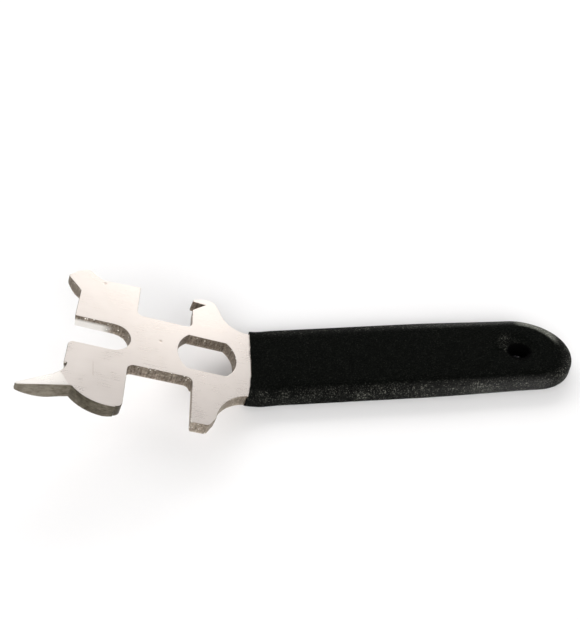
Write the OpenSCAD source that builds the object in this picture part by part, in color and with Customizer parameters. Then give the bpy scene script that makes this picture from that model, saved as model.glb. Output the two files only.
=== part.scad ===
// One-piece steel can and bottle opener with a black dipped grip.
// Millimetres. +X runs along the grip to the hanging hole, +Z is up, the grip lies on z = 0.
// The head is drawn flat, its grip edge on x = 0 and its top face on z = 0, then tipped up by the bend.

/* [Plate] */
// thickness of the steel
plate_t = 4.1; // [3:0.1:5]
// width of the neck, the bend and the tang
neck_w = 27; // [22:0.5:32]
// angle between the head and the grip
bend_a = 22.4; // [0:0.1:35]
// inside radius of the bend, on the top face
bend_r = 5; // [2:0.5:12]
// extra length along the flat plate from the grip edge to the spike tip
head_len = 65.2; // [60:0.1:70]

/* [Open slot and notches] */
// distance from the grip edge to the mouth of the open slot
arm_x = 54.6; // [50:0.1:60]
// width of the open slot between the two jaws
slot_w = 10.4; // [8:0.1:12]
// height of the slot's centre line above the plate's centre line
slot_y = -1.4; // [-4:0.1:4]
// distance from the grip edge to the centre of the slot's round end
slot_end = 42.8; // [40:0.1:46]
// width of the notch in the back edge
back_notch_w = 17.3; // [14:0.1:20]
// floor of the back notch above the centre line
back_notch_y = 10.35; // [8:0.05:13]
// distance from the grip edge to the back notch's far wall
back_notch_x = 36.65; // [34:0.05:39]
// width of the notch in the front edge
front_notch_w = 19; // [15:0.1:22]
// floor of the front notch below the centre line
front_notch_y = 11; // [8:0.05:13]
// distance from the grip edge to the front notch's far wall
front_notch_x = 37.4; // [35:0.05:40]
// radius in the inner corners of both notches
notch_r = 1.9; // [0.5:0.1:3]

/* [Closed hole] */
// distance across the hole's two flats
hole_flat = 14; // [10:0.1:18]
// diameter of the hole's round ends
hole_d = 18.5; // [16:0.1:22]
// distance from the grip edge to the hole's centre
hole_x = 14.05; // [12:0.05:17]
// height of the hole's centre above the centre line
hole_y = -0.35; // [-2:0.05:2]

/* [Head outline] */
// height of the back edge above the centre line, beside the back notch
back_edge = 23.4; // [20:0.1:26]
// lowest point of the rocker edge and the leg below the centre line
front_edge = 27.5; // [24:0.1:30]
// radius of the curved rocker edge
rocker_r = 14.5; // [12:0.1:20]
// distance from the grip edge to the rocker's centre
rocker_x = 40.8; // [38:0.1:44]
// radius of the sweep from the hook down to the neck
hook_sweep = 9.3; // [6:0.1:12]
// radius of the sweep from the leg up to the neck
leg_sweep = 12.5; // [9:0.1:15]
// radius of the sweep above the root of the spike
spike_sweep = 5; // [4:0.05:7]
// slope of the ground face on top of the spike
spike_grind = 3.6; // [0:0.1:10]
// how far the undersides of the spike's tip and of the claw rise
tip_rise = 1.8; // [0.5:0.1:2.5]
// length over which they rise
tip_reach = 5.5; // [3:0.1:8]

/* [Grip] */
// length of the straight grip from the bend to the centre of its round end
grip_straight = 84.8; // [70:0.1:100]
// thickness of the coating over the tang
coat = 0.75; // [0.4:0.05:2]
// mean thickness of the coating along the tang's two edges
side_coat = 1.1; // [0.8:0.05:2]
// how far the grip's middle hangs towards the back edge
side_sag = 0.5; // [0:0.05:0.6]
// radius along the edges of the grip
grip_edge_r = 1.6; // [0.5:0.1:2.6]
// diameter of the lined hanging hole
hang_d = 5.4; // [4:0.1:9]
// distance from the bend to the hanging hole
hang_x = 83.2; // [70:0.1:92]
// height of the hanging hole above the centre line
hang_y = -0.5; // [-2:0.1:2]
// thickness of the lining inside the tang's hole
lining = 1.2; // [0.4:0.05:2]
// depth of the flare at each mouth of the hanging hole
flare = 0.5; // [0.2:0.05:1]

/* [Hidden] */
$fn = 96;
steel = [0.78, 0.76, 0.74];
black = [0.05, 0.05, 0.05];
grip_w = neck_w + 2 * side_coat;
grip_t = plate_t + 2 * coat;
// reach of the tipped-up head, used to centre the part on its bounding box
reach = head_len * cos(bend_a) + (bend_r + plate_t - tip_rise) * sin(bend_a);
// highest point of the claw above the centre line
claw_top = 25.7;
shift_x = (reach - grip_straight - grip_w / 2) / 2;
shift_y = (front_edge - claw_top) / 2;
// height at which the back side of the spike meets the wall of the lower jaw
spike_top = -15.2;
// how far the sweeps run into the neck, so that they meet it at a corner
sweep_in = 0.05;
// how far the flats run into the bend, and how far the bend stands proud of them
lap = 0.5;
proud = 0.02;

// puts a shape drawn in the grip's frame (top of the tang on z = 0) into the part's frame
module placed() {
    translate([shift_x, shift_y, plate_t + coat])
        children();
}

// tips a shape drawn flat at x < 0 up around the bend
module tipped() {
    translate([0, 0, bend_r])
        rotate([0, bend_a, 0])
            translate([0, 0, -bend_r])
                children();
}

// sweeps a cross-section (x = depth below the top face, y = across) round the bend
module bent() {
    translate([0, 0, bend_r])
        rotate([-90, 0, 0])
            rotate([0, 0, 90])
                rotate_extrude(angle = bend_a)
                    translate([bend_r, 0])
                        children();
}

// turns an outline into the plate, or into a cutter that runs past both of its faces
module slab(past = 0) {
    translate([0, 0, -plate_t - past])
        linear_extrude(plate_t + 2 * past)
            children();
}

// takes a convex corner at [x, y] off to radius r; a turns the cutter, 0 is a lower left corner
module corner(x, y, r, a) {
    translate([x, y])
        rotate(a)
            slab(1)
                difference() {
                    translate([-1, -1])
                        square(1 + r);
                    translate([r, r])
                        circle(r);
                    translate([r, -2])
                        square([r, 4 + r]);
                    translate([-2, r])
                        square([4 + r, r]);
                }
}

// a notch with round inner corners; its floor is at y = 0 and it opens upwards
module notch(w) {
    slab(1)
        translate([0, notch_r])
            square([w, 30]);
    slab(1)
        translate([notch_r, 0])
            square([w - 2 * notch_r, 2 * notch_r]);
    for (x = [notch_r, w - notch_r])
        slab(1)
            translate([x, notch_r])
                circle(notch_r);
}

// upper jaw with the claw at its far corner
module arm() {
    slab()
        polygon([
            [-arm_x + 0.15, slot_y],
            [-arm_x + 0.15, 15.4],
            [-58.55, 20.2],
            [-58.8, 20.9],
            [-58.6, 21.6],
            [-56.4, 24.1],
            [-54.2, claw_top - 0.1],
            [-53.6, claw_top],
            [-52.7, 25.5],
            [-49.3, 22.9],
            [-48.2, back_edge - 0.95],
            [-47, back_edge - 0.85],
            [-back_notch_x, back_edge],
            [-back_notch_x + 2, slot_y]
        ]);
}

// lower jaw, above the spike
module block() {
    slab()
        translate([-arm_x, spike_top])
            square([arm_x - front_notch_x, slot_y - spike_top]);
}

// curved front edge of the lower jaw
module rocker() {
    slab()
        intersection() {
            translate([-rocker_x, rocker_r - front_edge])
                circle(rocker_r);
            translate([-51.5, -front_edge - 1])
                square([51.5 - front_notch_x, 22]);
        }
}

// spike that leaves the lower jaw's corner, swept out of it on its back side
module spike() {
    slab()
        difference() {
            polygon([
                [-head_len, -25.2],
                [-head_len + 0.2, -24.8],
                [-head_len + 0.7, -24.45],
                [-56.2, -19.75],
                [-56.2, spike_top],
                [-50, spike_top],
                [-50, -22.75],
                [-head_len + 0.7, -25.5],
                [-head_len + 0.2, -25.45]
            ]);
            translate([-58.7, spike_top])
                circle(spike_sweep);
        }
}

// middle of the head, between the two notches and round the open slot's end
module web() {
    slab()
        translate([-44, -18])
            square([44 - 12, 32]);
}

module neck() {
    slab()
        translate([-12.5, -neck_w / 2])
            square([12.5 + lap, neck_w]);
}

// hook beside the back notch, with its sharp nick, swept down to the neck
module hook() {
    slab()
        difference() {
            polygon([
                [-back_notch_x + back_notch_w, 5],
                [-back_notch_x + back_notch_w, 18.8],
                [-15.2, 22.55],
                [-19.7, 22.75],
                [-19.65, 23.3],
                [-18.7, 24.2],
                [-17, 24.85],
                [-15, 25.15],
                [-13.3, 25.1],
                [-12.3, 24.7],
                [-11.6, 23.9],
                [-11.05, 22.7],
                [-10.25, 21],
                [-1, 21],
                [-1, 5]
            ]);
            translate([-1, neck_w / 2 + hook_sweep - sweep_in])
                circle(hook_sweep);
        }
}

// leg beside the front notch, swept up to the neck
module leg() {
    slab()
        difference() {
            polygon([
                [-front_notch_x + front_notch_w, -5],
                [-front_notch_x + front_notch_w, -front_edge],
                [-13.5, -front_edge],
                [-12.7, -27],
                [-11.7, -25.4],
                [-10.85, -24.1],
                [-0.2, -24.1],
                [-0.2, -5]
            ]);
            translate([1.4, -neck_w / 2 - leg_sweep + 3 * sweep_in])
                circle(leg_sweep);
        }
}

module open_slot() {
    slab(1)
        translate([-arm_x - 5, slot_y - slot_w / 2])
            square([arm_x + 5 - slot_end, slot_w]);
    slab(1)
        translate([-slot_end, slot_y])
            circle(d = slot_w);
}

// hole with two flats and two round ends
module flat_hole() {
    slab(1)
        translate([-hole_x, hole_y])
            intersection() {
                circle(d = hole_d);
                square([2 * hole_d, hole_flat], center = true);
            }
}

// everything above the ground face of the spike
module grind_cut() {
    translate([-53.3, -21, 0])
        rotate([0, 0, 34])
            rotate([0, -spike_grind, 0])
                translate([-20, -10, 0])
                    cube([20, 20, 5]);
}

// takes the underside away towards a tip at [x, y], whose body lies in direction a
module tip_cut(x, y, a) {
    r = (tip_reach * tip_reach + tip_rise * tip_rise) / (2 * tip_rise);
    translate([x, y, -plate_t])
        rotate(a)
            difference() {
                translate([-2, -8, -1])
                    cube([2 + tip_reach, 16, 1 + 1.8 * tip_rise]);
                translate([tip_reach, 0, r - sweep_in])
                    rotate([90, 0, 0])
                        cylinder(r = r, h = 20, center = true);
            }
}

module head() {
    difference() {
        union() {
            arm();
            block();
            rocker();
            spike();
            web();
            neck();
            hook();
            leg();
        }
        open_slot();
        flat_hole();
        translate([-back_notch_x, back_notch_y, 0])
            notch(back_notch_w);
        translate([-front_notch_x, -front_notch_y, 0])
            mirror([0, 1, 0])
                notch(front_notch_w);
        corner(-arm_x, slot_y - slot_w / 2, 1.5, -90);
        corner(-front_notch_x, -front_edge + 0.4, 1.7, 90);
        corner(-front_notch_x + front_notch_w, -front_edge, 0.9, 0);
        grind_cut();
        tip_cut(-head_len, -25, 20);
        tip_cut(-58.8, 20.9, -52);
    }
}

// straight part of the tang, with its own larger hole under the lining
module tang() {
    difference() {
        union() {
            translate([-lap, -neck_w / 2, -plate_t])
                cube([lap + grip_straight, neck_w, plate_t]);
            translate([grip_straight, 0, -plate_t])
                cylinder(d = neck_w, h = plate_t);
        }
        translate([hang_x, hang_y, -plate_t - 1])
            cylinder(d = hang_d + 2 * lining, h = plate_t + 2);
    }
}

module plate_bend() {
    bent()
        translate([-proud, -neck_w / 2 - proud])
            square([plate_t + 2 * proud, neck_w + 2 * proud]);
}

// cross-section of the grip: x is depth below the tang's top face, y runs across
module grip_section() {
    translate([-coat, -grip_w / 2 + grip_edge_r])
        square([grip_t, grip_w - 2 * grip_edge_r]);
    translate([-coat + grip_edge_r, -grip_w / 2])
        square([grip_t - 2 * grip_edge_r, grip_w]);
    for (x = [-coat + grip_edge_r, plate_t + coat - grip_edge_r])
        for (y = [-1, 1])
            translate([x, y * (grip_w / 2 - grip_edge_r)])
                circle(grip_edge_r);
}

module grip_end() {
    translate([grip_straight, 0, 0])
        rotate([0, 0, -90])
            rotate_extrude(angle = 180)
                intersection() {
                    rotate([0, 0, -90])
                        grip_section();
                    translate([0, -2 * grip_t])
                        square([grip_w, 4 * grip_t]);
                }
}

module hang_hole() {
    translate([hang_x, hang_y, -plate_t - coat - 1])
        cylinder(d = hang_d, h = grip_t + 2);
    translate([hang_x, hang_y, coat - flare])
        cylinder(d1 = hang_d, d2 = hang_d + 4 * flare, h = flare);
    translate([hang_x, hang_y, -plate_t - coat])
        cylinder(d1 = hang_d + 4 * flare, d2 = hang_d, h = flare);
}

module steel_plate() {
    color(steel)
        placed() {
            union() {
                tipped()
                    head();
                plate_bend();
                tang();
            }
        }
}

module grip() {
    color(black)
        placed() {
            difference() {
                translate([0, side_sag, 0]) {
                    bent()
                        grip_section();
                    rotate([0, 90, 0])
                        linear_extrude(grip_straight)
                            grip_section();
                    grip_end();
                }
                plate_bend();
                tang();
                hang_hole();
            }
        }
}

steel_plate();
grip();
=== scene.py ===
import math

import bmesh
import bpy
import numpy as np
from mathutils import Matrix, Vector, noise


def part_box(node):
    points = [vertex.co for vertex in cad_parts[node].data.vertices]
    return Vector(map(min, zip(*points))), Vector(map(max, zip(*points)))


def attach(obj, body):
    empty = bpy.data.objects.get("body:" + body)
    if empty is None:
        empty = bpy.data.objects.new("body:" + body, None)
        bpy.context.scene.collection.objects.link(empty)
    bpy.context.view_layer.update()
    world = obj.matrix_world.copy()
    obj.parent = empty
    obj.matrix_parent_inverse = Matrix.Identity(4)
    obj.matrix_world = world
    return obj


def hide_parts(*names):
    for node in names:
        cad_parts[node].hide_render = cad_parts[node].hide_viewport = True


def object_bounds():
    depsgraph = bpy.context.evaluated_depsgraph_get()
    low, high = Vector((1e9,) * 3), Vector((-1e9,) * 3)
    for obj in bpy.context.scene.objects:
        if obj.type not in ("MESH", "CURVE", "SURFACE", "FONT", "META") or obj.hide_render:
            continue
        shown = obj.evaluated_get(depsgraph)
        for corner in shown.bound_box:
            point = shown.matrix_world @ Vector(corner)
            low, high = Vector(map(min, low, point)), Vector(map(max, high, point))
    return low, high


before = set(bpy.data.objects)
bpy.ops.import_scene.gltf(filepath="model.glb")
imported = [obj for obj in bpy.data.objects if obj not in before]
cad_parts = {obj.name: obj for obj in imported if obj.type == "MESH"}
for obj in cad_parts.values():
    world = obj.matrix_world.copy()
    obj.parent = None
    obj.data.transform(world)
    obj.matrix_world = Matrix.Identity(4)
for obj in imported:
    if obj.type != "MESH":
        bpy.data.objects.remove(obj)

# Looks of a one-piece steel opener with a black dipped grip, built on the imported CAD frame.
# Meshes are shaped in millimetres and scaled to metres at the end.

cad_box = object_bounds()

# --- sizes shared with the CAD part, in millimetres, with the angle in radians ------------------

BEND_ANGLE = math.radians(22.4)
BEND_RADIUS = 5.0
PLATE_T = 4.1
COAT = 0.75
SIDE_SAG = 0.5
NECK_W = 27.0
HOLE_AT = (83.2, -0.5)
HOLE_R = 2.7
GRIP_STRAIGHT = 84.8
MM = 0.001

grip_low, grip_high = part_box("grip")


def grip_frame():
    """Frame of the grip in metres: x = 0 at the bend, y = 0 on its middle, z = 0 on top of the tang."""
    reach = (BEND_RADIUS + PLATE_T + COAT) * math.sin(BEND_ANGLE) * MM
    middle = (grip_low.y + grip_high.y) / 2 - SIDE_SAG * MM
    return Matrix.Translation((grip_low.x + reach, middle, (PLATE_T + COAT) * MM))


def head_frame():
    """Frame of the tipped-up head in metres: x = 0 at the grip, z = 0 on its top face."""
    pivot = Matrix.Translation((0, 0, BEND_RADIUS * MM))
    return grip_frame() @ pivot @ Matrix.Rotation(BEND_ANGLE, 4, "Y") @ pivot.inverted()


GRIP = grip_frame()
HEAD = head_frame()


# --- mesh helpers -----------------------------------------------------------------------------

def welded_copy(node, at):
    """bmesh of a CAD node in millimetres in the frame at, with its flat faces made whole again."""
    bm = bmesh.new()
    bm.from_mesh(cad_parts[node].data)
    bm.transform(Matrix.Scale(1 / MM, 4) @ at.inverted())
    bmesh.ops.remove_doubles(bm, verts=bm.verts, dist=0.002)
    bmesh.ops.dissolve_limit(bm, angle_limit=math.radians(0.8), verts=bm.verts, edges=bm.edges)
    bmesh.ops.recalc_face_normals(bm, faces=bm.faces)
    return bm


def finished(bm, name, at, materials):
    """Smooth shaded object in the part's frame from a bmesh in millimetres in the frame at."""
    mesh = bpy.data.meshes.new(name)
    bm.transform(at @ Matrix.Scale(MM, 4))
    bm.to_mesh(mesh)
    bm.free()
    for material in materials:
        mesh.materials.append(material)
    mesh.shade_smooth()
    piece = bpy.data.objects.new(name, mesh)
    bpy.context.scene.collection.objects.link(piece)
    return piece


def bake_modifiers(piece):
    """Applies the piece's modifiers to its mesh."""
    graph = bpy.context.evaluated_depsgraph_get()
    mesh = bpy.data.meshes.new_from_object(piece.evaluated_get(graph))
    piece.modifiers.clear()
    piece.data = mesh


def smoothstep(low, high, value):
    """0 at low, 1 at high; low may be above high."""
    t = np.clip((value - low) / (high - low), 0, 1)
    return t * t * (3 - 2 * t)


# --- material helpers -------------------------------------------------------------------------

class Nodes:
    """Short names for the nodes of one procedural material, whose coordinates are metres in the frame at."""

    def __init__(self, name, at=Matrix()):
        self.material = bpy.data.materials.new(name)
        self.material.use_nodes = True
        self.tree = self.material.node_tree
        self.shader = self.tree.nodes["Principled BSDF"]
        self.place = self.tree.nodes.new("ShaderNodeTexCoord").outputs["Object"]
        back = at.inverted()
        self.place = self.stretched((1, 1, 1), back.translation, back.to_euler())

    def link(self, source, target):
        self.tree.links.new(source, target)

    def value(self, target, source):
        """Links a socket or sets a plain number."""
        if isinstance(source, (int, float)):
            target.default_value = source
        else:
            self.link(source, target)

    def stretched(self, scale, at=(0, 0, 0), turn=(0, 0, 0)):
        """The coordinates scaled, then turned, then shifted by at."""
        node = self.tree.nodes.new("ShaderNodeMapping")
        node.inputs["Location"].default_value = at
        node.inputs["Rotation"].default_value = turn
        node.inputs["Scale"].default_value = scale
        self.link(self.place, node.inputs["Vector"])
        return node.outputs["Vector"]

    def noise(self, scale, detail=3, roughness=0.55, vector=None):
        node = self.tree.nodes.new("ShaderNodeTexNoise")
        node.inputs["Scale"].default_value = scale
        node.inputs["Detail"].default_value = detail
        node.inputs["Roughness"].default_value = roughness
        self.link(vector or self.place, node.inputs["Vector"])
        return node.outputs["Fac"]

    def cells(self, scale):
        """Distance from the nearest of many scattered points, and that point's own colour."""
        node = self.tree.nodes.new("ShaderNodeTexVoronoi")
        node.inputs["Scale"].default_value = scale
        self.link(self.place, node.inputs["Vector"])
        return node.outputs["Distance"], node.outputs["Color"]

    def part(self, vector, axis):
        node = self.tree.nodes.new("ShaderNodeSeparateXYZ")
        self.link(vector, node.inputs[0])
        return node.outputs[axis]

    def length(self, vector):
        node = self.tree.nodes.new("ShaderNodeVectorMath")
        node.operation = "LENGTH"
        self.link(vector, node.inputs[0])
        return node.outputs["Value"]

    def remap(self, source, low, high, to_low=0.0, to_high=1.0):
        node = self.tree.nodes.new("ShaderNodeMapRange")
        node.interpolation_type = "SMOOTHSTEP"
        for name, number in (("From Min", low), ("From Max", high), ("To Min", to_low), ("To Max", to_high)):
            node.inputs[name].default_value = number
        self.link(source, node.inputs["Value"])
        return node.outputs["Result"]

    def math(self, operation, a, b=0.0):
        node = self.tree.nodes.new("ShaderNodeMath")
        node.operation = operation
        self.value(node.inputs[0], a)
        self.value(node.inputs[1], b)
        return node.outputs[0]

    def ramp(self, source, stops):
        node = self.tree.nodes.new("ShaderNodeValToRGB")
        while len(node.color_ramp.elements) < len(stops):
            node.color_ramp.elements.new(0.5)
        for element, (at, colour) in zip(node.color_ramp.elements, stops):
            element.position = at
            element.color = (*colour, 1)
        self.link(source, node.inputs["Fac"])
        return node.outputs["Color"]

    def mix(self, amount, a, b):
        node = self.tree.nodes.new("ShaderNodeMix")
        node.data_type = "RGBA"
        self.value(node.inputs["Factor"], amount)
        for target, source in ((node.inputs["A"], a), (node.inputs["B"], b)):
            if isinstance(source, tuple):
                target.default_value = (*source, 1)
            else:
                self.link(source, target)
        return node.outputs["Result"]

    def bump(self, height, distance, strength=1.0, after=None):
        node = self.tree.nodes.new("ShaderNodeBump")
        node.inputs["Distance"].default_value = distance
        node.inputs["Strength"].default_value = strength
        self.link(height, node.inputs["Height"])
        if after:
            self.link(after, node.inputs["Normal"])
        return node.outputs["Normal"]

    def finish(self, colour, roughness, normal, **plain):
        self.link(colour, self.shader.inputs["Base Color"])
        self.value(self.shader.inputs["Roughness"], roughness)
        self.link(normal, self.shader.inputs["Normal"])
        for name, number in plain.items():
            self.shader.inputs[name.replace("_", " ")].default_value = number
        return self.material


SCRATCH_AT = (-0.0475, -0.0090)     # a point that the scratch is measured from, in metres
SCRATCH_MIDDLE = 0.0063             # how far its middle lies from there towards the front edge
SCRATCH_LEAN = 0.135                # slope of the scratch against the head's width


def scratch(n, uneven):
    """A short fine scratch across the grain of the lower jaw."""
    shifted = n.stretched((1, 1, 1), (-SCRATCH_AT[0], -SCRATCH_AT[1], 0))
    lean = n.math("MULTIPLY", n.part(shifted, "Y"), SCRATCH_LEAN)
    beside = n.math("ABSOLUTE", n.math("ADD", n.part(shifted, "X"), lean))
    along = n.math("ABSOLUTE", n.math("ADD", n.part(shifted, "Y"), SCRATCH_MIDDLE))
    thin = n.remap(beside, 0.00016, 0.00004)
    return n.math("MULTIPLY", n.math("MULTIPLY", thin, n.remap(along, 0.0032, 0.0022)),
                  n.remap(uneven, 0.3, 0.6))


def brushed_steel(name, dark, light):
    """Satin top and bottom faces: fine grain along the head, faint blotches, a few pits and a scratch."""
    n = Nodes(name, HEAD)
    grain = n.noise(1, 4, 0.6, n.stretched((110, 4200, 900)))
    blotch = n.noise(95, 2)
    pit_distance, pit_colour = n.cells(210)
    chosen = n.remap(n.part(pit_colour, "X"), 0.93, 0.94)
    pit = n.math("MULTIPLY", n.remap(pit_distance, 0.16, 0.05), chosen)
    colour = n.ramp(n.math("ADD", n.math("MULTIPLY", blotch, 0.72), n.math("MULTIPLY", grain, 0.28)),
                    [(0.3, dark), (0.7, light)])
    mark = n.math("MAXIMUM", n.math("MULTIPLY", pit, 0.5), n.math("MULTIPLY", scratch(n, grain), 0.5))
    colour = n.mix(mark, colour, (0.42, 0.33, 0.28))
    rough = n.math("ADD", n.remap(grain, 0.25, 0.75, 0.26, 0.33), n.remap(blotch, 0.3, 0.7, -0.02, 0.03))
    normal = n.bump(grain, 0.000008)
    normal = n.bump(n.math("SUBTRACT", 1.0, pit), 0.00005, 0.6, normal)
    return n.finish(colour, rough, normal, Metallic=1.0)


def sheared_steel():
    """Cut walls: torn grains, painted paler low down with light from the floor, and bright chips mostly at
    the rim.
    """
    n = Nodes("sheared_steel", HEAD)
    depth = n.part(n.place, "Z")
    torn = n.noise(1500, 6, 0.7)
    lines = n.noise(1, 3, 0.6, n.stretched((2600, 2600, 350)))
    surface = n.math("ADD", n.math("MULTIPLY", torn, 0.65), n.math("MULTIPLY", lines, 0.35))
    along, across = n.part(n.place, "X"), n.part(n.place, "Y")
    # the walls are painted paler towards their bottom edge: painted light bounced up from the floor
    tone = n.math("ADD", surface, n.remap(depth, -0.0042, -0.0028, 0.10, 0.0))
    on_leg = n.math("MULTIPLY", n.remap(along, -0.0195, -0.0175), n.remap(across, -0.012, -0.015))
    tone = n.math("ADD", tone, n.math("MULTIPLY", on_leg, 0.06))
    colour = n.ramp(tone, [(0.38, (0.055, 0.042, 0.030)), (0.52, (0.225, 0.185, 0.145)),
                           (0.70, (0.52, 0.46, 0.38))])
    chip_distance, chip_colour = n.cells(1500)
    rim = n.remap(depth, -0.0009, -0.0003, 0.93, 0.55)
    chosen = n.math("GREATER_THAN", n.part(chip_colour, "X"), rim)
    chip = n.math("MULTIPLY", n.remap(chip_distance, 0.45, 0.25), chosen)
    chip = n.math("MULTIPLY", chip, n.remap(n.noise(420, 2), 0.48, 0.56))
    colour = n.mix(chip, colour, (0.98, 0.95, 0.88))
    # the walls round the open slot's mouth are painted near-white below their upper rim: painted light from
    # the floor
    mouth = n.math("MULTIPLY", n.remap(along, -0.0425, -0.0465), n.remap(across, 0.009, 0.006))
    slot_wall_painted_light = n.math("MULTIPLY", mouth, n.remap(depth, -0.0008, -0.0022))
    colour = n.mix(n.math("MULTIPLY", slot_wall_painted_light, 0.85), colour, (0.90, 0.88, 0.85))
    normal = n.bump(surface, 0.0004, 0.9)
    return n.finish(colour, n.remap(torn, 0.3, 0.7, 0.34, 0.6), normal, Metallic=0.85)


def dark_steel():
    """Smooth dark walls, painted a little lighter along their lower edge with light from the floor, and
    lighter on the spike.
    """
    n = Nodes("dark_steel", HEAD)
    depth = n.part(n.place, "Z")
    cloud = n.noise(420, 4, 0.6)
    lines = n.noise(1, 3, 0.6, n.stretched((500, 500, 2600)))
    tone = n.math("ADD", n.math("MULTIPLY", cloud, 0.6), n.math("MULTIPLY", lines, 0.4))
    # painted paler along the lower edge: painted light from the floor
    tone = n.math("ADD", tone, n.remap(depth, -0.0040, -0.0028, 0.10, 0.0))
    tone = n.math("ADD", tone, n.remap(n.part(n.place, "X"), -0.051, -0.054, 0.0, 0.16))
    colour = n.ramp(tone, [(0.38, (0.040, 0.033, 0.022)), (0.55, (0.105, 0.092, 0.068)),
                           (0.75, (0.23, 0.205, 0.165))])
    normal = n.bump(tone, 0.00012, 0.6)
    return n.finish(colour, n.remap(cloud, 0.3, 0.7, 0.28, 0.42), normal, Metallic=0.9)


def dipped_coating():
    """Black pebbled coating, shinier along its edges from wear, greyer there from wear and painted light, and
    with three more tones of painted light.

    They are a painted reflection in a pale crescent on the back corner of the round end, a painted highlight
    beside the hanging hole and painted shade in the black mouth of that hole.
    """
    n = Nodes("dipped_coating", GRIP)
    past_end = n.math("MAXIMUM", n.math("SUBTRACT", n.part(n.place, "X"), GRIP_STRAIGHT * MM), 0.0)
    drift = n.math("MULTIPLY", n.part(n.place, "X"), REAR_DRIFT / GRIP_STRAIGHT)
    drift = n.math("ADD", drift, n.remap(n.part(n.place, "X"), 0.083, 0.097, 0.0, REAR_SKEW * MM))
    across = n.math("SUBTRACT", n.part(n.place, "Y"), SIDE_SAG * MM)
    across = n.math("SUBTRACT", across, drift)
    outward = n.math("SQRT", n.math("ADD", n.math("MULTIPLY", past_end, past_end),
                                    n.math("MULTIPLY", across, across)))
    # band along the rounded edges: shinier from wear, and greyer from wear and painted light
    wear_and_painted_light = n.remap(outward, 0.0108, 0.0134)
    pebble_distance, _ = n.cells(1900)
    fine = n.noise(2300, 4, 0.7)
    broad = n.noise(160, 3)
    height = n.math("ADD", n.math("MULTIPLY", pebble_distance, -0.8), fine)
    tone = n.math("ADD", n.math("MULTIPLY", fine, 0.8), n.math("MULTIPLY", broad, 0.2))
    deep = n.ramp(fine, [(0.42, (0.0006, 0.0008, 0.0006)), (0.56, (0.0018, 0.0024, 0.0018)),
                         (0.68, (0.020, 0.021, 0.018))])
    worn_and_lit_grey = n.ramp(tone, [(0.45, (0.001, 0.0011, 0.001)), (0.55, (0.009, 0.0095, 0.008)),
                         (0.64, (0.15, 0.15, 0.13))])
    pale = n.ramp(tone, [(0.36, (0.06, 0.062, 0.054)), (0.54, (0.15, 0.153, 0.133)),
                         (0.66, (0.40, 0.40, 0.36))])
    rearward = n.remap(n.part(n.place, "X"), 0.0, 0.06, 0.55, 1.0)
    # the grey edge band is partly wear and partly painted light
    colour = n.mix(n.math("MULTIPLY", wear_and_painted_light, rearward), deep, worn_and_lit_grey)
    # pale crescent on the back corner of the round end: a painted reflection
    crescent_painted_reflection = n.math("MULTIPLY", n.remap(past_end, 0.0, 0.003), n.remap(past_end, 0.013, 0.010))
    crescent_painted_reflection = n.math("MULTIPLY", crescent_painted_reflection, n.remap(across, 0.001, 0.005))
    colour = n.mix(n.math("MULTIPLY", n.remap(outward, 0.0104, 0.0120), crescent_painted_reflection), colour, pale)
    # grey patch beside the hanging hole: a painted highlight on the slope of the sink
    from_painted_highlight = n.stretched((1, 0.9, 0), (-0.0810, -0.0024, 0))
    colour = n.mix(n.remap(n.length(from_painted_highlight), 0.0045, 0.0015, 0.0, 0.8), colour, worn_and_lit_grey)
    # black round the mouth of the hanging hole: painted shade
    from_hole = n.stretched((1, 1, 0), (-HOLE_AT[0] * MM, -narrowed(*HOLE_AT) * MM, 0))
    colour = n.mix(n.remap(n.length(from_hole), 0.0044, 0.0034), colour, (0.0005, 0.0005, 0.0005))
    shine = n.math("MULTIPLY", wear_and_painted_light, n.remap(n.part(n.place, "X"), 0.03, 0.09, 0.05, 0.56))
    shine = n.math("MULTIPLY", shine, n.remap(past_end, 0.001, 0.007, 1.0, 0.25))
    normal = n.bump(broad, 0.0006, 0.25)
    normal = n.bump(height, 0.00025, 0.9, normal)
    n.link(shine, n.shader.inputs["Coat Weight"])
    n.link(normal, n.shader.inputs["Coat Normal"])
    return n.finish(colour, n.remap(fine, 0.3, 0.7, 0.42, 0.62), normal, Coat_Roughness=0.42,
                    Specular_IOR_Level=0.013)


def pale_floor():
    """Matt white ground, very slightly uneven."""
    n = Nodes("pale_floor")
    colour = n.ramp(n.noise(6, 2), [(0.3, (0.90, 0.90, 0.905)), (0.7, (0.915, 0.912, 0.912))])
    return n.finish(colour, 0.9, n.bump(n.noise(900, 2), 0.00002), Specular_IOR_Level=0.1)


# --- steel plate ------------------------------------------------------------------------------

RIM = 0.2               # width of the rolled edges
RIM_STEPS = 3
SHARP = math.radians(33)    # edges that turn by more than this are rolled
EDGE_FLARE = 0.55       # how far the ground edges lean out at the bottom
SPIKE_FLARE = 0.6       # and how much further in the middle of the spike
SPIKE_MIDDLE = -57.6
SPIKE_SPREAD = 3        # how far along the spike that reaches each way
TIP_FROM = -58          # the spike's tip lies beyond this
SPIKE_TOP = -15.2       # the spike and the rocker lie in front of this
JAW_END = -37.6         # and further out than this
LEFT_WALL_DRAW = 0.55   # how far the walls that face the far end are drawn in at the bottom
CORNER_REACH = 1.2      # how far round their corners the drawing in fades out
STEEP = 0.3             # largest upward share of a wall's normal
FLAT = 0.8              # smallest upward share of a face's normal
TILTED = 0.9995         # the spike's ground facet is tilted, so its share is smaller than this
FACE, SHEARED, DARK, FACET = 0, 1, 2, 3


def is_low(vertex):
    """True on the underside of the plate."""
    return vertex.co.z < -PLATE_T + 0.05


def on_head(edge):
    """True for the head's own edges, short of the bend."""
    return all(v.co.x < 0.3 for v in edge.verts) and all(v.co.z > -PLATE_T - 0.05 for v in edge.verts)


def is_rocker_or_spike(face):
    """Walls of the lower jaw's curved edge and of the spike."""
    at = face.calc_center_median()
    return at.x < JAW_END and at.y < SPIKE_TOP and face.normal.y < 0.35


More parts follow.
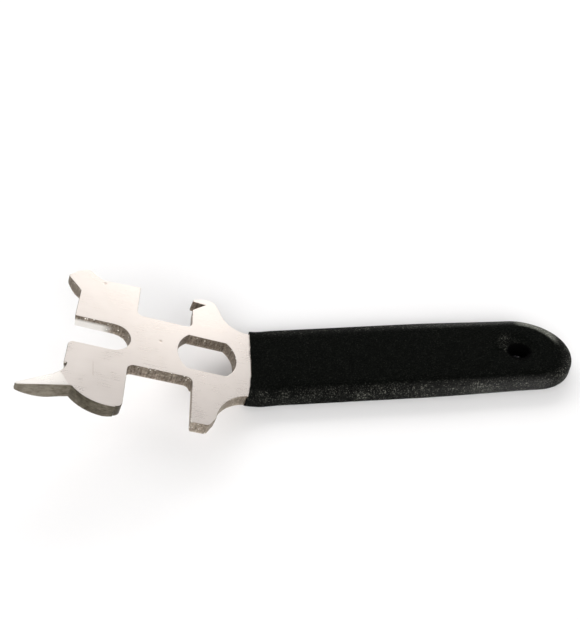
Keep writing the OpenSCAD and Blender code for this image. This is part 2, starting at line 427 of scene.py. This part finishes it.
def draw_in_left_walls(bm):
    """Draws in the lower edges of the straight walls that face the far end of the head."""
    walls = [f for f in bm.faces if f.normal.x < -0.9 and f.calc_area() > 8]
    low = [v for v in bm.verts if is_low(v) and v.co.x < -5]
    moves = {}
    for wall in walls:
        left = min(v.co.x for v in wall.verts)
        front, back = min(v.co.y for v in wall.verts), max(v.co.y for v in wall.verts)
        for vertex in low:
            if left - 0.01 < vertex.co.x < left + CORNER_REACH and front - 1 < vertex.co.y < back + 1:
                share = 1 - max(vertex.co.x - left, 0) / CORNER_REACH
                moves[vertex] = max(moves.get(vertex, 0), LEFT_WALL_DRAW * share)
    for vertex, move in moves.items():
        vertex.co.x += move


def lean_ground_edges(bm):
    """Leans the rocker's and the spike's near walls out at the bottom, and draws the left walls in."""
    walls = [f for f in bm.faces if abs(f.normal.z) < STEEP and is_rocker_or_spike(f) and f.normal.y < -0.3]
    low = {v for f in walls for v in f.verts
           if is_low(v) or (v.co.x < TIP_FROM and v.co.z < -PLATE_T / 2)}
    draw_in_left_walls(bm)
    for vertex in low:
        facing = sum((f.normal for f in vertex.link_faces if f in walls), Vector())
        facing.z = 0
        if vertex.co.x < TIP_FROM:
            facing.x = 0
        fade = smoothstep(-38, -42, vertex.co.x) * EDGE_FLARE
        middle = SPIKE_FLARE * math.exp(-((vertex.co.x - SPIKE_MIDDLE) / SPIKE_SPREAD) ** 2)
        vertex.co += facing.normalized() * (float(fade) + middle)


def split_spike(bm):
    """Gives the spike's long lower edge points to bend it with."""
    def below_spike(vertex):
        return vertex.co.x < -51 and vertex.co.y < -22 and is_low(vertex)

    long_edges = [e for e in bm.edges if e.calc_length() > 5 and all(below_spike(v) for v in e.verts)]
    bmesh.ops.subdivide_edges(bm, edges=long_edges, cuts=6)


def steel_plate():
    """The CAD plate with its sharp edges rolled over and its walls told apart from its faces."""
    bm = welded_copy("steel_plate", HEAD)
    split_spike(bm)
    lean_ground_edges(bm)
    sharp = [e for e in bm.edges if len(e.link_faces) == 2 and e.calc_face_angle(0) > SHARP and on_head(e)]
    bmesh.ops.bevel(bm, geom=sharp, offset=RIM, segments=RIM_STEPS, profile=0.5,
                    affect="EDGES", clamp_overlap=False)
    bm.normal_update()
    for face in bm.faces:
        if abs(face.normal.z) > FLAT:
            ground = face.normal.z < TILTED and face.calc_center_median().x < -54 and face.calc_area() > 2
            face.material_index = FACET if ground and face.normal.z > 0 else FACE
        else:
            face.material_index = DARK if is_rocker_or_spike(face) else SHEARED
    bm.transform(Matrix.Scale(1 / MM, 4) @ GRIP.inverted() @ HEAD @ Matrix.Scale(MM, 4))
    for vertex in bm.verts:
        if vertex.co.x > 5:
            vertex.co.y = narrowed(vertex.co.x, vertex.co.y)
    brushed = brushed_steel("brushed_steel", (0.72, 0.665, 0.63), (0.80, 0.75, 0.715))
    # the spike's ground facet gets a paler copy of the brushed steel: a painted highlight
    facet = brushed_steel("ground_facet_painted_highlight", (0.80, 0.76, 0.72), (0.90, 0.87, 0.83))
    piece = finished(bm, "opener_plate", GRIP, [brushed, sheared_steel(), dark_steel(), facet])
    piece.modifiers.new("flat faces", "WEIGHTED_NORMAL").weight = 80
    bake_modifiers(piece)
    return piece


# --- dipped grip ------------------------------------------------------------------------------

VOXEL = 0.38            # mesh size of the remeshed coating
REAR_TAPER = 0.065      # share of its width that the grip loses towards its round end
REAR_DRIFT = -0.65      # how far its centre line drifts over its length
REAR_SKEW = -1.0        # and how much more it turns aside at the round end
FRONT_SHIFT = 0.25      # how far the straight grip lies towards the back edge
EDGE_FALL = 0.5         # how far the top falls away towards its edges
LIP_MIDDLE = 0.08       # how far the lip reaches over the plate in the middle
LIP_NEAR = 1.3          # and how much further at its front edge
LIP_FAR = 0.05          # and at its back edge
LIP_RAGGED = 0.22       # unevenness of the dipped line
DIMPLE_R = 9.0          # radius of the sink round the hanging hole
DIMPLE_DEPTH = 0.62
DEEPEST_SINK = 0.66     # limit of the sink and its crease together, less than COAT
FUNNEL_DEPTH = 1.8      # how far the back rim of the hole falls away


def narrowed(along, across):
    """The across position of a point of the grip or its tang, once the grip tapers."""
    taper = 1 - REAR_TAPER * smoothstep(48, 90, along)
    skew = REAR_SKEW * smoothstep(83, 97, along)
    return across * taper + FRONT_SHIFT * smoothstep(0, 6, along) + REAR_DRIFT * along / GRIP_STRAIGHT + skew


def wobble(points, size, seed):
    """Smooth seeded noise in -1..1 at each point."""
    shift = Vector((seed, seed * 0.7, -seed))
    return np.array([noise.noise(Vector(p) / size + shift) for p in points])


def shape_grip(points):
    """Works the even CAD grip into the dipped one; points are in the grip's frame, in millimetres."""
    to_head = np.array((HEAD.inverted() @ GRIP).to_3x3())
    pivot = np.array((0, 0, BEND_RADIUS))
    head_points = (points - pivot) @ to_head.T + pivot
    along, across, up = points.T
    moved = points.copy()

    # it tapers towards its round end
    moved[:, 1] = np.where(along > 0, narrowed(along, across), across)

    # its top edges fall away in a wide soft curve
    from_middle = np.abs(across - SIDE_SAG)
    moved[:, 2] -= (smoothstep(0, COAT, up) * EDGE_FALL * smoothstep(10, 15, from_middle)
                    * smoothstep(-1, 5, along))

    # its lip reaches further over the plate at the front edge, with an uneven dipped line
    near, far = np.clip(-across / (NECK_W / 2), 0, 1.1), np.clip(across / (NECK_W / 2), 0, 1.1)
    reach = LIP_MIDDLE + LIP_NEAR * near ** 3 + LIP_FAR * far ** 3
    ragged = LIP_RAGGED * wobble(points * (0, 1, 1), 1.7, 3.1)
    close = smoothstep(5, 0, head_points[:, 0])
    moved[:, 0] -= close * (reach + ragged) * math.cos(BEND_ANGLE)
    moved[:, 2] += close * (reach + ragged) * math.sin(BEND_ANGLE)

    # the top sinks towards the hanging hole, with a crease running into it
    east, north = along - HOLE_AT[0], across - HOLE_AT[1]
    spread = np.hypot(np.where(east < 0, 0.85, 1.1) * east, north)
    sunk = DIMPLE_DEPTH * (1 - smoothstep(HOLE_R, DIMPLE_R, spread))
    crease = 0.2 * np.exp(-((north - 0.9) / 0.5) ** 2) * smoothstep(-9, -7, east) * smoothstep(-3, -4.5, east)
    moved[:, 2] -= smoothstep(0, COAT, up) * np.minimum(sunk + crease, DEEPEST_SINK)

    # and the back half of the hole opens into it like a funnel, inside the larger hole of the tang
    funnel = FUNNEL_DEPTH * (1 - smoothstep(HOLE_R - 0.1, HOLE_R + 1.0, np.hypot(east, north)))
    funnel *= smoothstep(-2.5, 1.0, north)
    moved[:, 2] -= smoothstep(-3.5, COAT, up) * funnel
    return moved


def grip():
    """Remeshed CAD grip, smoothed and worked into its real shape."""
    bm = welded_copy("grip", GRIP)
    mesh = bpy.data.meshes.new("grip work")
    bm.to_mesh(mesh)
    bm.free()
    work = bpy.data.objects.new("grip work", mesh)
    bpy.context.scene.collection.objects.link(work)
    remesh = work.modifiers.new("even mesh", "REMESH")
    remesh.mode = "VOXEL"
    remesh.voxel_size = VOXEL
    smooth = work.modifiers.new("smooth", "SMOOTH")
    smooth.factor = 0.5
    smooth.iterations = 3
    bake_modifiers(work)
    bm = bmesh.new()
    bm.from_mesh(work.data)
    bpy.data.objects.remove(work)
    points = np.array([v.co for v in bm.verts])
    for vertex, point in zip(bm.verts, shape_grip(points)):
        vertex.co = point
    return finished(bm, "dipped_grip", GRIP, [dipped_coating()])


# --- floor, light and camera ------------------------------------------------------------------

def add_floor():
    """Wide ground just under the part."""
    mesh = bpy.data.meshes.new("floor")
    bm = bmesh.new()
    bmesh.ops.create_grid(bm, x_segments=8, y_segments=8, size=3)
    bm.to_mesh(mesh)
    bm.free()
    mesh.materials.append(pale_floor())
    floor = bpy.data.objects.new("floor", mesh)
    floor.location.z = cad_box[0].z - 0.0001
    bpy.context.scene.collection.objects.link(floor)


def add_panel(name, at, target, size, power, colour=(1, 1, 1)):
    """A rectangular soft light at a point, facing another, in metres."""
    lamp = bpy.data.lights.new(name, "AREA")
    lamp.shape = "RECTANGLE"
    lamp.size, lamp.size_y = size
    lamp.energy = power
    lamp.color = colour
    panel = bpy.data.objects.new(name, lamp)
    panel.location = at
    panel.rotation_euler = (Vector(target) - Vector(at)).to_track_quat("-Z", "Y").to_euler()
    bpy.context.scene.collection.objects.link(panel)
    return panel


def add_world(low, high):
    """A light tent: strength low up to about 27 degrees, and strength high from about 51 degrees up."""
    world = bpy.data.worlds.new("studio")
    world.use_nodes = True
    tree = world.node_tree
    direction = tree.nodes.new("ShaderNodeTexCoord").outputs["Generated"]
    split = tree.nodes.new("ShaderNodeSeparateXYZ")
    tree.links.new(direction, split.inputs[0])
    fall = tree.nodes.new("ShaderNodeMapRange")
    fall.interpolation_type = "SMOOTHSTEP"
    fall.inputs["From Min"].default_value = 0.45
    fall.inputs["From Max"].default_value = 0.78
    fall.inputs["To Min"].default_value = low
    fall.inputs["To Max"].default_value = high
    tree.links.new(split.outputs["Z"], fall.inputs["Value"])
    background = tree.nodes["Background"]
    background.inputs["Color"].default_value = (1, 0.985, 0.975, 1)
    tree.links.new(fall.outputs["Result"], background.inputs["Strength"])
    bpy.context.scene.world = world


def add_camera(aim, azimuth, elevation, roll, distance, lens):
    """A camera that looks at aim from that azimuth (0 looks along +Y) and elevation, in degrees."""
    a, e = math.radians(azimuth), math.radians(elevation)
    back = Vector((-math.sin(a) * math.cos(e), -math.cos(a) * math.cos(e), math.sin(e)))
    data = bpy.data.cameras.new("camera")
    data.lens = lens
    data.sensor_width = 36
    data.clip_start = 0.01
    camera = bpy.data.objects.new("camera", data)
    turn = (-back).to_track_quat("-Z", "Y").to_matrix() @ Matrix.Rotation(math.radians(roll), 3, "Z")
    camera.matrix_world = Matrix.Translation(aim + back * distance) @ turn.to_4x4()
    bpy.context.scene.collection.objects.link(camera)
    bpy.context.scene.camera = camera


def add_studio():
    """Ground, light and camera: three lights give only reflections, and two light only matt surfaces."""
    centre = (cad_box[0] + cad_box[1]) / 2
    add_floor()
    add_world(low=0.85, high=0.34)
    key = add_panel("key", (0.70, -2.4, 1.8), centre, (2.6, 1.1), 30, (1, 0.99, 0.98))
    back = add_panel("back panel", (0.025, 0.42, 0.18), centre, (0.38, 0.28), 0.39, (1, 0.97, 0.93))
    spike = add_panel("spike card", (0.01, 0.28, 0.41), (-0.07, -0.025, 0.025), (0.12, 0.12), 0.08)
    for panel in (key, back, spike):
        panel.visible_diffuse = False
    for name, side, power in (("tent front", -1.5, 36), ("tent back", 1.5, 24)):
        add_panel(name, (0, side, 0.7), centre, (2.4, 1.2), power).visible_glossy = False
    aim = GRIP @ (Vector((11.44, 14.03, 9.85)) * MM)
    add_camera(aim, azimuth=3.80, elevation=41.50, roll=-0.50, distance=0.22306, lens=40.71)
    settings = bpy.context.scene.view_settings
    settings.view_transform = "Standard"
    settings.exposure = 0


# --- assembly ---------------------------------------------------------------------------------

for made, node in ((steel_plate(), "steel_plate"), (grip(), "grip")):
    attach(made, "root")
    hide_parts(node)
add_studio()
